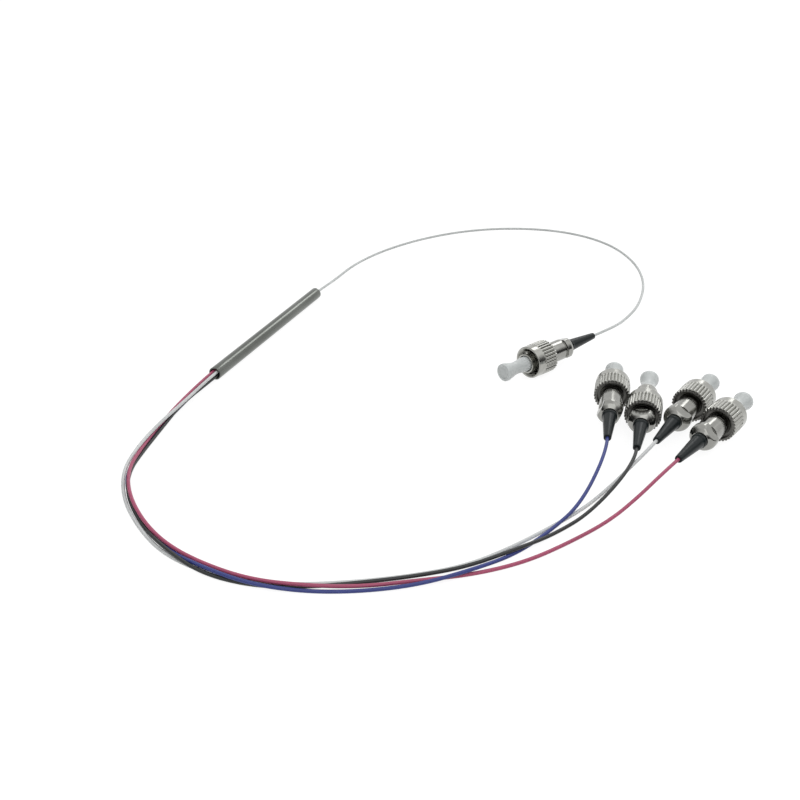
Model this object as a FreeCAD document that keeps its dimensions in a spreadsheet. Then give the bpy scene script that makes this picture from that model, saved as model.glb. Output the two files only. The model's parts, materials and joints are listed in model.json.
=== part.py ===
"""Fused one-to-four fibre optic coupler with five pigtails and their connectors.

Row frame, millimetres: the origin is on the surface that the coupler lies on, below the middle of its steel
tube. +X runs along the tube to the input end and +Z is up. Each connector is built along its own +X, from the
face where its boot meets the rear body, and then placed at the end of its pigtail.
"""

import FreeCAD
import Part
import Sketcher
import math
import os

from FreeCAD import Placement, Rotation, Vector

SIZES = {
    # coupler body
    "tube_length": 69,
    "tube_wall": 0.35,
    "seal_recess": 1.2,
    "seal_length": 6,
    "seal_wall": 0.31,
    "seal_clearance": 0.02,
    "socket_depth": 4,
    "socket_wall": 0.16,
    "substrate_gap": 0.35,
    "substrate_top": 0.35,
    "groove_depth": 0.7,
    "groove_clearance": 0.05,
    "taper_end": 0.4,
    "taper_waist": 0.15,
    # pigtail
    "cord_radius": 0.45,
    "cord_clearance": 0.05,
    "cord_seat": 1.5,
    # strain relief boot
    "boot_length": 12.4,
    "boot_tip_wall": 0.5,
    "boot_wall": 1.35,
    "boot_rim_step": 0.25,
    "boot_rim_length": 1.2,
    "boot_rim_bevel": 0.25,
    # rear body
    "rear_length": 9.4,
    "barrel_wall": 0.9,
    "cone_step": 0.15,
    "cone_length": 0.8,
    "bevel_length": 1,
    "bevel_step": 0.4,
    "collar_step": 0.55,
    "collar_length": 2.8,
    "flat_wall": 0.55,
    "flat_run": 1,
    "spring_seat": 3,
    "fibre_bore": 0.3,
    # plug frame
    "shoulder_at": 4.6,
    "shoulder_length": 1,
    "shoulder_step": 0.35,
    "sleeve_length": 4,
    "sleeve_wall": 0.5,
    "key_width": 2,
    "key_length": 3,
    "guide_clearance": 0.08,
    # ferrule and its spring
    "ferrule_radius": 1.25,
    "ferrule_out": 3,
    "ferrule_chamfer": 0.15,
    "flange_length": 2,
    "flange_step": 0.9,
    "flange_clearance": 0.15,
    "stop_gap": 0.02,
    "wire": 0.35,
    "spring_clearance": 0.15,
    "spring_pitch": 0.9,
    # coupling nut
    "nut_length": 8.2,
    "nut_wall": 1.25,
    "nut_collar": 2.9,
    "nut_rim": 0.15,
    "nut_lip": 0.4,
    "nut_mouth_length": 0.7,
    "nut_back_slope": 0.4,
    "nut_recess": 1.2,
    "recess_clearance": 0.35,
    "web_length": 1.5,
    "web_clearance": 0.08,
    "thread_clearance": 0.2,
    "knurl_count": 31,
    "knurl_depth": 0.3,
    "knurl_width": 0.75,
    # dust cap
    "cap_seat_gap": 1,
    "cap_wall": 1.01,
    "cap_clearance": 0.04,
    "cap_gap": 0.2,
    "cap_headroom": 0.6,
    "cap_straight": 4,
    "cap_taper": 3.6,
    "cap_waist_wall": 0.51,
    "cap_grip": 3.8,
    "cap_flare_step": 0.9,
    "cap_rim": 1,
    # where each nut stands: back from the shoulder of its plug frame, or ahead of the collar
    "input_nut_back": 1.8,
    "blue_nut_back": 0.1,
    "black_nut_ahead": 1.3,
    "white_nut_back": 0.7,
    "red_nut_back": 0.9,
}

# Pigtail routes from the seal to the seat in the rear body, chosen by hand; the last run is the straight
# stretch through the boot.
ROUTES = {
    "input": [
        (29.3, 0, 2), (38.5, 0, 2), (52.5, 0.9, 0.45), (70, 0.9, 0.45), (88.5, -3.4, 0.45),
        (107.5, -12.4, 0.45), (125, -26.5, 0.45), (136.8, -45.5, 0.45), (140.2, -67, 0.45),
        (132.5, -86.5, 0.45), (115.5, -100.3, 0.45), (94, -108.3, 0.45), (70.6, -110.1, 0.45),
        (54.1, -107.3, 0.45), (35.89, -105.55, 5), (16.6, -95.2, 5),
    ],
    "blue": [
        (-29.3, -0.58, 1.42), (-37.5, -0.58, 1.42), (-48.5, 0.45, 0.7), (-67.95, -0.17, 0.45),
        (-85.8, -5.83, 0.45), (-101.16, -16.93, 0.45), (-110.57, -31.19, 0.45), (-114.53, -46.07, 1.42),
        (-116.05, -57.98, 1.42), (-115.2, -70.38, 1.42), (-111.15, -82.16, 0.45), (-104.3, -91.6, 1.42),
        (-92, -102.6, 1.42), (-79, -110.2, 1.5), (-68, -114.2, 0.45), (-56.2, -116.7, 0.45),
        (-41.09, -119.62, 5), (-19.4, -116.5, 5),
    ],
    "black": [
        (-29.3, -0.58, 2.58), (-37.5, -0.58, 2.58), (-48.5, 1.4, 1.3), (-68.05, 0.8, 0.45),
        (-86.21, -4.95, 0.45), (-101.86, -16.25, 0.45), (-111.46, -30.8, 0.45), (-115.5, -45.93, 0.45),
        (-115.13, -58.01, 0.45), (-112.57, -69.67, 0.45), (-108.5, -80.86, 0.45), (-98.4, -93, 0.45),
        (-84.4, -106.6, 0.45), (-71.2, -115.8, 0.45), (-60.2, -120.6, 0.45), (-43.34, -127.08, 5),
        (-21.5, -125.4, 5),
    ],
    "white": [
        (-29.3, 0.58, 1.42), (-37.5, 0.58, 1.42), (-48.48, 2.75, 0.8), (-68.15, 1.76, 0.45),
        (-86.62, -4.07, 0.45), (-102.56, -15.58, 0.45), (-112.34, -30.4, 0.45), (-116.46, -45.8, 0.45),
        (-116.1, -57.98, 0.45), (-113.51, -69.92, 0.45), (-109.38, -81.29, 0.45), (-99.3, -93.9, 0.45),
        (-85.4, -108.6, 0.45), (-69.37, -118.75, 0.45), (-51.95, -126.16, 0.45), (-37.56, -128.72, 5),
        (-16.29, -133.88, 5),
    ],
    "red": [
        (-29.3, 0.58, 2.58), (-37.5, 0.58, 2.58), (-48.49, 2, 2.25), (-68, 0.3, 1.45),
        (-85.58, -6.31, 1.4), (-100.28, -17.78, 0.45), (-109.68, -31.59, 0.45), (-113.56, -46.2, 1.42),
        (-115.1, -58.01, 1.42), (-114.28, -70.13, 1.42), (-110.27, -81.73, 0.45), (-100.2, -94.6, 0.45),
        (-86.5, -110, 0.45), (-71.61, -119.71, 0.45), (-55.99, -126.73, 0.45), (-44.5, -134.57, 5),
        (-23.74, -141.56, 5),
    ],
}

# How far each connector lies rolled about its own axis, in degrees, clockwise from behind.
ROLLS = {"input": 25, "blue": 110, "black": 27, "white": 69, "red": 53}

CORD_SIDES = 6
SPRING_SIDES = 6
ARC_SHARE = 0.45

# Radii that several pieces share.
CORD_BORE = "(dim.cord_radius + dim.cord_clearance)"
SOCKET_PITCH = "(2 * %s + dim.socket_wall)" % CORD_BORE
SEAL_RADIUS = "(%s / sqrt(2) + %s + dim.seal_wall)" % (SOCKET_PITCH, CORD_BORE)
TUBE_BORE = "(%s + dim.seal_clearance)" % SEAL_RADIUS
TUBE_RADIUS = "(%s + dim.tube_wall)" % TUBE_BORE
BOOT_RADIUS = "(%s + dim.boot_wall)" % CORD_BORE
BOOT_RIM = "(%s + dim.boot_rim_step)" % BOOT_RADIUS
FLANGE_RADIUS = "(dim.ferrule_radius + dim.flange_step)"
SPRING_BORE = "(%s + dim.flange_clearance)" % FLANGE_RADIUS
BARREL_RADIUS = "(%s + dim.barrel_wall)" % SPRING_BORE
COLLAR_RADIUS = "(%s + dim.collar_step)" % BARREL_RADIUS
SHOULDER_RADIUS = "(%s + dim.shoulder_step)" % BARREL_RADIUS
THREAD_RADIUS = "(%s + dim.thread_clearance)" % SHOULDER_RADIUS
NUT_RADIUS = "(%s + dim.nut_wall)" % THREAD_RADIUS
CAP_BORE = "(dim.ferrule_radius + dim.cap_clearance)"
CAP_RADIUS = "(%s + dim.cap_wall)" % CAP_BORE
CAP_WAIST = "(%s + dim.cap_waist_wall)" % CAP_BORE
SLEEVE_BORE = "(%s + dim.cap_gap)" % CAP_RADIUS
SLEEVE_RADIUS = "(%s + dim.sleeve_wall)" % SLEEVE_BORE

# Places that several pieces share, along the tube and along a connector's own axis.
SEAL_FACE = "(dim.tube_length / 2 - dim.seal_recess)"
SEAL_BACK = "(%s - dim.seal_length)" % SEAL_FACE
COLLAR_START = "(dim.cone_length + dim.bevel_length)"
COLLAR_END = "(%s + dim.collar_length)" % COLLAR_START
SHOULDER = "(dim.rear_length + dim.shoulder_at)"
SHOULDER_END = "(%s + dim.shoulder_length)" % SHOULDER
FRAME_FRONT = "(%s + dim.sleeve_length)" % SHOULDER_END
FERRULE_TIP = "(%s + dim.ferrule_out)" % FRAME_FRONT
FLANGE_FRONT = "(dim.rear_length - dim.stop_gap)"
FLANGE_REAR = "(%s - dim.flange_length)" % FLANGE_FRONT
CAP_REAR = "(%s + dim.cap_seat_gap)" % SHOULDER_END

# Where the back of each nut's web stands along its connector.
WEB_REAR = {
    "input": "(%s - dim.input_nut_back - dim.web_length)" % SHOULDER,
    "blue": "(%s - dim.blue_nut_back - dim.web_length)" % SHOULDER,
    "black": "(%s + dim.black_nut_ahead)" % COLLAR_END,
    "white": "(%s - dim.white_nut_back - dim.web_length)" % SHOULDER,
    "red": "(%s - dim.red_nut_back - dim.web_length)" % SHOULDER,
}

doc = FreeCAD.newDocument("fibre_optic_coupler")
sheet = doc.addObject("Spreadsheet::Sheet", "dim")
parts = []


def fill_sheet():
    """Write every driving size to the sheet, one named cell each."""
    for row, (name, value) in enumerate(SIZES.items(), start=1):
        sheet.set("A%d" % row, name)
        sheet.set("B%d" % row, str(value))
        sheet.setAlias("B%d" % row, name)
    doc.recompute()


def value(expression):
    """The number that an expression of the sheet's sizes comes to."""
    return float(sheet.evalExpression(expression))


def origin_item(body, role):
    """An origin plane or axis of a body."""
    return next(item for item in body.Origin.OriginFeatures if item.Role == role)


def new_body(label, placement):
    """An empty body for one sub-part, at its place in the row frame."""
    body = doc.addObject("PartDesign::Body", label)
    body.Label = label
    body.Placement = placement
    parts.append(body)
    return body


def new_sketch(body, role, name):
    """A sketch on one of the body's own origin planes."""
    sketch = body.newObject("Sketcher::SketchObject", body.Name + "_" + name)
    sketch.AttachmentSupport = (origin_item(body, role), [""])
    sketch.MapMode = "FlatFace"
    return sketch


def bind(sketch, kind, geometry, point, expression):
    """Tie one coordinate of a point to an expression, or put the point on the axis where it is zero."""
    axis = {"DistanceX": -2, "DistanceY": -1}[kind]
    if expression == "0":
        sketch.addConstraint(Sketcher.Constraint("PointOnObject", geometry, point, axis))
        return
    value = sketch.evalExpression(expression)
    index = sketch.addConstraint(Sketcher.Constraint(kind, -1, 1, geometry, point, value))
    sketch.setExpression("Constraints[%d]" % index, expression)


def draw_outline(sketch, corners):
    """A closed outline with both coordinates of each corner bound to the sheet.

    A corner with a third item starts an arc, which rises by that much above the line to the next corner.
    """
    read = sketch.evalExpression
    spots = [Vector(read(corner[0]), read(corner[1]), 0) for corner in corners]
    pieces = []
    for index, corner in enumerate(corners):
        following = (index + 1) % len(corners)
        if len(corner) == 2:
            line = Part.LineSegment(spots[index], spots[following])
            pieces.append((sketch.addGeometry(line, False), 1, 2))
        else:
            pieces.append(draw_arc(sketch, corner, corners[following], spots[index], spots[following]))
    for (piece, _, end), (after, start, _) in zip(pieces, pieces[1:] + pieces[:1]):
        sketch.addConstraint(Sketcher.Constraint("Coincident", piece, end, after, start))
    for (piece, start, _), corner in zip(pieces, corners):
        bind(sketch, "DistanceX", piece, start, corner[0])
        bind(sketch, "DistanceY", piece, start, corner[1])


def draw_arc(sketch, corner, following, here, there):
    """One arc of an outline, with the numbers of its end points; its radius follows from its rise."""
    rise = sketch.evalExpression(corner[2])
    across = Vector(here.y - there.y, there.x - here.x, 0).normalize()
    if across.y < 0:
        across = -across
    middle = (here + there) * 0.5 + across * rise
    arc = sketch.addGeometry(Part.Arc(here, middle, there), False)
    chord_squared = "(((%s) - (%s))^2 + ((%s) - (%s))^2)" % (following[0], corner[0], following[1], corner[1])
    height = "abs(%s)" % corner[2]
    radius = "%s / (8 * %s) + %s / 2" % (chord_squared, height, height)
    index = sketch.addConstraint(Sketcher.Constraint("Radius", arc, sketch.evalExpression(radius)))
    sketch.setExpression("Constraints[%d]" % index, radius)
    turns_left = (middle - here).cross(there - middle).z > 0
    return (arc, 1, 2) if turns_left else (arc, 2, 1)


def draw_circle(sketch, x, y, radius):
    """A circle whose centre and radius are bound to the sheet."""
    middle = Vector(sketch.evalExpression(x), sketch.evalExpression(y), 0)
    span = sketch.evalExpression(radius)
    circle = sketch.addGeometry(Part.Circle(middle, Vector(0, 0, 1), span), False)
    bind(sketch, "DistanceX", circle, 3, x)
    bind(sketch, "DistanceY", circle, 3, y)
    index = sketch.addConstraint(Sketcher.Constraint("Radius", circle, span))
    sketch.setExpression("Constraints[%d]" % index, radius)


def draw_rectangle(sketch, half_width, low, high):
    """A rectangle that is symmetric about the sketch's own Y axis."""
    left = "-(%s)" % half_width
    draw_outline(sketch, [(left, low), (half_width, low), (half_width, high), (left, high)])


def turn(body, corners):
    """A solid turned about the body's X axis from a profile of (place along the axis, radius) corners."""
    sketch = new_sketch(body, "XY_Plane", "profile")
    draw_outline(sketch, corners)
    turned = body.newObject("PartDesign::Revolution", body.Name + "_turned")
    turned.Profile = sketch
    turned.ReferenceAxis = (sketch, ["H_Axis"])
    turned.Angle = 360
    sketch.Visibility = False
    return turned


def cut_forward(body, sketch, length, name):
    """A pocket from the sketch along the body's +X; it has to take material away."""
    doc.recompute()
    before = body.Shape.Volume
    pocket = body.newObject("PartDesign::Pocket", body.Name + "_" + name)
    pocket.Profile = sketch
    pocket.Reversed = True
    pocket.setExpression("Length", length)
    doc.recompute()
    if body.Shape.Volume >= before - 1e-6:
        raise RuntimeError("pocket %s cuts nothing" % pocket.Name)
    return pocket


def make_tube():
    """Thin round steel sleeve."""
    body = new_body("steel_tube", Placement())
    body.setExpression("Placement.Base.z", TUBE_RADIUS)
    front = "dim.tube_length / 2"
    back = "-dim.tube_length / 2"
    turn(body, [(back, TUBE_BORE), (back, TUBE_RADIUS), (front, TUBE_RADIUS), (front, TUBE_BORE)])


def make_seal(label, facing, sockets):
    """Potting plug near one end of the tube, with a blind socket for each pigtail."""
    body = new_body(label, Placement(Vector(), Rotation(Vector(0, 0, 1), facing)))
    body.setExpression("Placement.Base.z", TUBE_RADIUS)
    turn(body, [(SEAL_BACK, "0"), (SEAL_BACK, SEAL_RADIUS), (SEAL_FACE, SEAL_RADIUS), (SEAL_FACE, "0")])
    sketch = new_sketch(body, "YZ_Plane", "sockets")
    sketch.setExpression("AttachmentOffset.Base.z", SEAL_FACE + " - dim.socket_depth")
    for across, up in sockets:
        draw_circle(sketch, across, up, CORD_BORE)
    cut_forward(body, sketch, "dim.socket_depth", "socket")


def make_substrate():
    """Half-round quartz carrier between the seals, with a groove for the fused fibres."""
    radius = "(%s - dim.substrate_gap)" % TUBE_BORE
    groove_width = "(2 * dim.taper_end + 2 * dim.groove_clearance)"
    length = "2 * " + SEAL_BACK
    start = "-" + SEAL_BACK
    rod = doc.addObject("Part::Cylinder", "substrate_rod")
    rod.setExpression("Radius", radius)
    rod.setExpression("Height", length)
    rod.Placement = Placement(Vector(), Rotation(Vector(0, 1, 0), 90))
    rod.setExpression("Placement.Base.x", start)
    rod.setExpression("Placement.Base.z", TUBE_RADIUS)
    crown = doc.addObject("Part::Box", "substrate_crown")
    crown.setExpression("Length", length)
    crown.setExpression("Width", "2 * " + radius)
    crown.setExpression("Height", radius)
    crown.setExpression("Placement.Base.x", start)
    crown.setExpression("Placement.Base.y", "-" + radius)
    crown.setExpression("Placement.Base.z", TUBE_RADIUS + " + dim.substrate_top")
    groove = doc.addObject("Part::Box", "substrate_groove")
    groove.setExpression("Length", length)
    groove.setExpression("Width", groove_width)
    groove.setExpression("Height", "dim.groove_depth")
    groove.setExpression("Placement.Base.x", start)
    groove.setExpression("Placement.Base.y", "-%s / 2" % groove_width)
    groove.setExpression("Placement.Base.z", TUBE_RADIUS + " + dim.substrate_top - dim.groove_depth")
    half_round = doc.addObject("Part::Cut", "substrate_half_round")
    half_round.Base = rod
    half_round.Tool = crown
    carrier = doc.addObject("Part::Cut", "quartz_substrate")
    carrier.Base = half_round
    carrier.Tool = groove
    carrier.Label = "quartz_substrate"
    parts.append(carrier)


def make_taper():
    """Fused fibres, drawn down to a thin waist, lying on the bottom of the carrier's groove."""
    body = new_body("fused_taper", Placement())
    body.setExpression(
        "Placement.Base.z", TUBE_RADIUS + " + dim.substrate_top - dim.groove_depth + dim.taper_end"
    )
    left = "-" + SEAL_BACK
    turn(
        body,
        [
            (left, "0"),
            (left, "dim.taper_end", "dim.taper_waist - dim.taper_end"),
            (SEAL_BACK, "dim.taper_end"),
            (SEAL_BACK, "0"),
        ],
    )


def make_boot(port, place):
    """Rubber strain relief around the pigtail, with a thicker rim against the rear body."""
    body = new_body(port + "_boot", place)
    turn(
        body,
        [
            ("-dim.boot_length", CORD_BORE),
            ("-dim.boot_length", CORD_BORE + " + dim.boot_tip_wall"),
            ("-dim.boot_rim_length", BOOT_RADIUS),
            ("-dim.boot_rim_length + dim.boot_rim_bevel", BOOT_RIM),
            ("0", BOOT_RIM),
            ("0", CORD_BORE),
        ],
    )


def make_rear_body(port, place):
    """Turned rear body: bevelled cone, collar with two wrench flats, barrel, spring bore."""
    body = new_body(port + "_rear_body", place)
    turn(
        body,
        [
            ("0", CORD_BORE),
            ("0", BOOT_RIM + " + dim.cone_step"),
            ("dim.cone_length", COLLAR_RADIUS + " - dim.bevel_step"),
            (COLLAR_START, COLLAR_RADIUS),
            (COLLAR_END, COLLAR_RADIUS),
            (COLLAR_END, BARREL_RADIUS),
            ("dim.rear_length", BARREL_RADIUS),
            ("dim.rear_length", SPRING_BORE),
            ("dim.spring_seat", SPRING_BORE),
            ("dim.spring_seat", "dim.fibre_bore"),
            ("dim.cord_seat", "dim.fibre_bore"),
            ("dim.cord_seat", CORD_BORE),
        ],
    )
    flats = new_sketch(body, "YZ_Plane", "flats")
    flat = "(%s + dim.flat_wall)" % SPRING_BORE
    outside = "2 * " + COLLAR_RADIUS
    draw_rectangle(flats, outside, flat, outside)
    draw_rectangle(flats, outside, "-" + outside, "-" + flat)
    cut_forward(body, flats, COLLAR_END + " + dim.flat_run", "flat")


def make_plug_frame(port, place):
    """Thin nickel sleeve around the ferrule, with the shoulder that stops the nut and the alignment key."""
    body = new_body(port + "_plug_frame", place)
    guide = "dim.ferrule_radius + dim.guide_clearance"
    turn(
        body,
        [
            ("dim.rear_length", guide),
            ("dim.rear_length", BARREL_RADIUS),
            (SHOULDER, BARREL_RADIUS),
            (SHOULDER, SHOULDER_RADIUS),
            (SHOULDER_END, SHOULDER_RADIUS),
            (SHOULDER_END, SLEEVE_RADIUS),
            (FRAME_FRONT, SLEEVE_RADIUS),
            (FRAME_FRONT, SLEEVE_BORE),
            (SHOULDER_END, SLEEVE_BORE),
            (SHOULDER_END, guide),
        ],
    )
    key = new_sketch(body, "YZ_Plane", "key")
    key.setExpression("AttachmentOffset.Base.z", SHOULDER_END)
    inside = SLEEVE_BORE + " + dim.sleeve_wall / 2"
    draw_rectangle(key, "dim.key_width / 2", inside, SHOULDER_RADIUS)
    pad = body.newObject("PartDesign::Pad", body.Name + "_key_pad")
    pad.Profile = key
    pad.setExpression("Length", "dim.key_length")


def make_ferrule(port, place):
    """Ceramic ferrule with a bevelled tip."""
    body = new_body(port + "_ferrule", place)
    turn(
        body,
        [
            (FLANGE_REAR, "0"),
            (FLANGE_REAR, "dim.ferrule_radius"),
            (FERRULE_TIP + " - dim.ferrule_chamfer", "dim.ferrule_radius"),
            (FERRULE_TIP, "dim.ferrule_radius - dim.ferrule_chamfer"),
            (FERRULE_TIP, "0"),
        ],
    )


def make_flange(port, place):
    """Metal flange pressed on the ferrule; its back is the spring's front seat."""
    body = new_body(port + "_ferrule_flange", place)
    turn(
        body,
        [
            (FLANGE_REAR, "dim.ferrule_radius"),
            (FLANGE_REAR, FLANGE_RADIUS),
            (FLANGE_FRONT, FLANGE_RADIUS),
            (FLANGE_FRONT, "dim.ferrule_radius"),
        ],
    )


def make_spring(port, place):
    """Coil spring of square wire between its seat and the flange, in short straight chords."""
    wire = value("dim.wire")
    coil = value(SPRING_BORE + " - dim.spring_clearance") - wire / 2
    start = value("dim.spring_seat") + wire
    end = value(FLANGE_REAR) - wire
    turns = int((end - start) / value("dim.spring_pitch"))
    chords = turns * SPRING_SIDES
    spots = []
    for step in range(chords + 1):
        angle = 2 * math.pi * step / SPRING_SIDES
        along = start + (end - start) * step / chords
        spots.append(Vector(along, coil * math.cos(angle), coil * math.sin(angle)))
    heading = spots[1] - spots[0]
    out = Vector(0, 1, 0)
    up = heading.cross(out).normalize()
    out = up.cross(heading).normalize()
    half = wire / 2
    corners = [(-half, -half), (half, -half), (half, half), (-half, half)]
    section = [spots[0] + out * a + up * b for a, b in corners]
    profile = Part.makePolygon(section + section[:1])
    path = Part.makePolygon(spots)
    solid = path.makePipeShell([profile], True, False, 1)
    feature = doc.addObject("Part::Feature", port + "_spring")
    feature.Label = port + "_spring"
    feature.Shape = solid
    feature.Placement = place
    parts.append(feature)


def make_nut(port, place):
    """Knurled coupling nut: smooth collar in front, straight knurl behind, web that rides on the barrel."""
    slid = Placement(Vector(value(WEB_REAR[port] + " - dim.nut_recess"), 0, 0), Rotation())
    body = new_body(port + "_coupling_nut", place.multiply(slid))
    web_front = "dim.nut_recess + dim.web_length"
    web_bore = BARREL_RADIUS + " + dim.web_clearance"
    recess = COLLAR_RADIUS + " + dim.recess_clearance"
    front_edge = NUT_RADIUS + " - dim.nut_rim"
    turn(
        body,
        [
            ("0", recess),
            ("dim.nut_back_slope", NUT_RADIUS),
            ("dim.nut_length - dim.nut_rim", NUT_RADIUS),
            ("dim.nut_length", front_edge),
            ("dim.nut_length", front_edge + " - dim.nut_lip"),
            ("dim.nut_length - dim.nut_mouth_length", THREAD_RADIUS),
            (web_front, THREAD_RADIUS),
            (web_front, web_bore),
            ("dim.nut_recess", web_bore),
            ("dim.nut_recess", recess),
        ],
    )
    groove = new_sketch(body, "YZ_Plane", "knurl")
    crest = NUT_RADIUS + " + dim.knurl_depth"
    root = NUT_RADIUS + " - dim.knurl_depth"
    draw_outline(groove, [("-dim.knurl_width", crest), ("0", root), ("dim.knurl_width", crest)])
    pocket = cut_forward(body, groove, "dim.nut_length - dim.nut_collar", "groove")
    knurl = body.newObject("PartDesign::PolarPattern", body.Name + "_knurl_ring")
    knurl.Originals = [pocket]
    knurl.Axis = (groove, ["N_Axis"])
    knurl.Angle = 360
    knurl.setExpression("Occurrences", "dim.knurl_count")
    body.Tip = knurl


def make_cap(port, place):
    """Clear dust cap pushed over the ferrule: barrel, waist and flared grip."""
    body = new_body(port + "_dust_cap", place)
    floor = FERRULE_TIP + " + dim.cap_headroom"
    barrel_end = CAP_REAR + " + dim.cap_straight"
    waist_at = barrel_end + " + dim.cap_taper"
    flare_at = waist_at + " + dim.cap_grip"
    end = flare_at + " + dim.cap_rim"
    flare = CAP_WAIST + " + dim.cap_flare_step"
    turn(
        body,
        [
            (CAP_REAR, CAP_BORE),
            (CAP_REAR, CAP_RADIUS),
            (barrel_end, CAP_RADIUS),
            (waist_at, CAP_WAIST),
            (flare_at, flare),
            (end, flare),
            (end, "0"),
            (floor, "0"),
            (floor, CAP_BORE),
        ],
    )


def rounded_path(points):
    """Straight runs joined by tangent arcs, each as large as its two runs allow, and the arcs' radii."""
    spots = [Vector(*point) for point in points]
    edges = []
    radii = []
    here = spots[0]
    for before, corner, after in zip(spots, spots[1:], spots[2:]):
        back = before - corner
        ahead = after - corner
        cut = ARC_SHARE * min(back.Length, ahead.Length)
        half_turn = (math.pi - back.getAngle(ahead)) / 2
        back.normalize()
        ahead.normalize()
        radius = cut / math.tan(half_turn)
        inward = (back + ahead).normalize()
        middle = corner + inward * (radius / math.cos(half_turn) - radius)
        start = corner + back * cut
        end = corner + ahead * cut
        edges.append(Part.LineSegment(here, start).toShape())
        edges.append(Part.Arc(start, middle, end).toShape())
        radii.append(radius)
        here = end
    edges.append(Part.LineSegment(here, spots[-1]).toShape())
    return Part.Wire(edges), radii


def make_cord(port):
    """Loose-tube pigtail from its seal to its connector, as a tube with a few flat sides."""
    path, radii = rounded_path(ROUTES[port])
    start = path.Edges[0].Vertexes[0].Point
    ahead = path.Edges[0].tangentAt(path.Edges[0].FirstParameter)
    side = Vector(0, 0, 1).cross(ahead).normalize()
    up = ahead.cross(side)
    radius = value("dim.cord_radius")
    corners = []
    for step in range(CORD_SIDES):
        angle = 2 * math.pi * (step + 0.5) / CORD_SIDES
        corners.append(start + side * radius * math.sin(angle) + up * radius * math.cos(angle))
    section = Part.makePolygon(corners + corners[:1])
    solid = path.makePipeShell([section], True, False)
    expected = Part.Face(section).Area * path.Length
    print("%s_cord: length %.1f, least radius %.1f, volume %.4f of section times length"
          % (port, path.Length, min(radii), solid.Volume / expected))
    feature = doc.addObject("Part::Feature", port + "_cord")
    feature.Label = port + "_cord"
    feature.Shape = solid
    parts.append(feature)


def connector_place(port):
    """Where a connector stands: its nut rests on the surface, in line with the end of its pigtail."""
    before, seat = [Vector(*point) for point in ROUTES[port][-2:]]
    heading = Vector(seat.x - before.x, seat.y - before.y, 0).normalize()
    foot = seat - heading * value("dim.cord_seat")
    turned = math.degrees(math.atan2(heading.y, heading.x))
    stance = Rotation(Vector(0, 0, 1), turned).multiply(Rotation(Vector(1, 0, 0), ROLLS[port]))
    return Placement(Vector(foot.x, foot.y, value(NUT_RADIUS)), stance)


def make_connector(port):
    """All pieces of one connector."""
    place = connector_place(port)
    make_boot(port, place)
    make_rear_body(port, place)
    make_plug_frame(port, place)
    make_spring(port, place)
    make_flange(port, place)
    make_ferrule(port, place)
    make_cap(port, place)
    make_nut(port, place)


def check_and_export():
    """Stop on any failed object, then write one file for each sub-part."""
    doc.recompute()
    for item in doc.Objects:
        if "Invalid" in item.State or "Error" in item.State:
            raise RuntimeError("%s failed: %s" % (item.Label, item.State))
    for item in parts:
        if item.Shape.isNull() or not item.Shape.isValid() or len(item.Shape.Solids) != 1:
            raise RuntimeError("%s is not one valid solid" % item.Label)
    os.makedirs("parts", exist_ok=True)
    for item in parts:
        item.Shape.exportStep("parts/%s.step" % item.Label)
    print("%d sub-parts" % len(parts))


fill_sheet()
make_tube()
half_pitch = SOCKET_PITCH + " / 2"
opposite = "-" + half_pitch
make_seal("input_seal", 0, [("0", "0")])
make_seal(
    "output_seal",
    180,
    [(half_pitch, half_pitch), (opposite, half_pitch), (opposite, opposite), (half_pitch, opposite)],
)
make_substrate()
make_taper()
for name in ROUTES:
    make_cord(name)
    make_connector(name)
check_and_export()
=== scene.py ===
"""Dresses the packed fibre optic coupler: finish of every piece, loose pigtails, stage, lights and camera."""

import json
import math

import bpy
import numpy as np
from bpy.props import FloatProperty, FloatVectorProperty, IntProperty, PointerProperty
from bpy.types import Operator, Panel, PropertyGroup
from mathutils import Euler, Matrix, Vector


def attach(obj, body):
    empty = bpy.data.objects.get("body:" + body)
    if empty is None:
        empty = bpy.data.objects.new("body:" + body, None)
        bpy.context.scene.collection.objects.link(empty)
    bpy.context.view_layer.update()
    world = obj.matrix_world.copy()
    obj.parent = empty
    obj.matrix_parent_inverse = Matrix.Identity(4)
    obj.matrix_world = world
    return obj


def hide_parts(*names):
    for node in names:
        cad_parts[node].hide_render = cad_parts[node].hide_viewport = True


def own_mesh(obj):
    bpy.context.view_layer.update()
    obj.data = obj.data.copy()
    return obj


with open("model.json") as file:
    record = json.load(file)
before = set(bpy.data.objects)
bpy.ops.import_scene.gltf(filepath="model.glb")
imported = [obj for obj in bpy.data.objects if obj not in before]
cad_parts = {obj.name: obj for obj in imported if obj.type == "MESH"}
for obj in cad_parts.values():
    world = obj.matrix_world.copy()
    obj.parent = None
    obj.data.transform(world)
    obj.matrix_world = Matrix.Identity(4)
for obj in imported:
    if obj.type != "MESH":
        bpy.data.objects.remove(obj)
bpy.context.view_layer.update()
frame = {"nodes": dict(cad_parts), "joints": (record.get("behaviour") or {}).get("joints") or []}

bl_info = {
    "name": "Fibre Optic Coupler",
    "version": (1, 0, 0),
    "blender": (4, 5, 0),
    "location": "View3D > Sidebar > Coupler",
    "description": "Dresses a fused fibre optic coupler with its pigtails and screw-on connectors",
    "category": "Add Mesh",
}

MM = 0.001
PORTS = ("input", "blue", "black", "white", "red")

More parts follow.
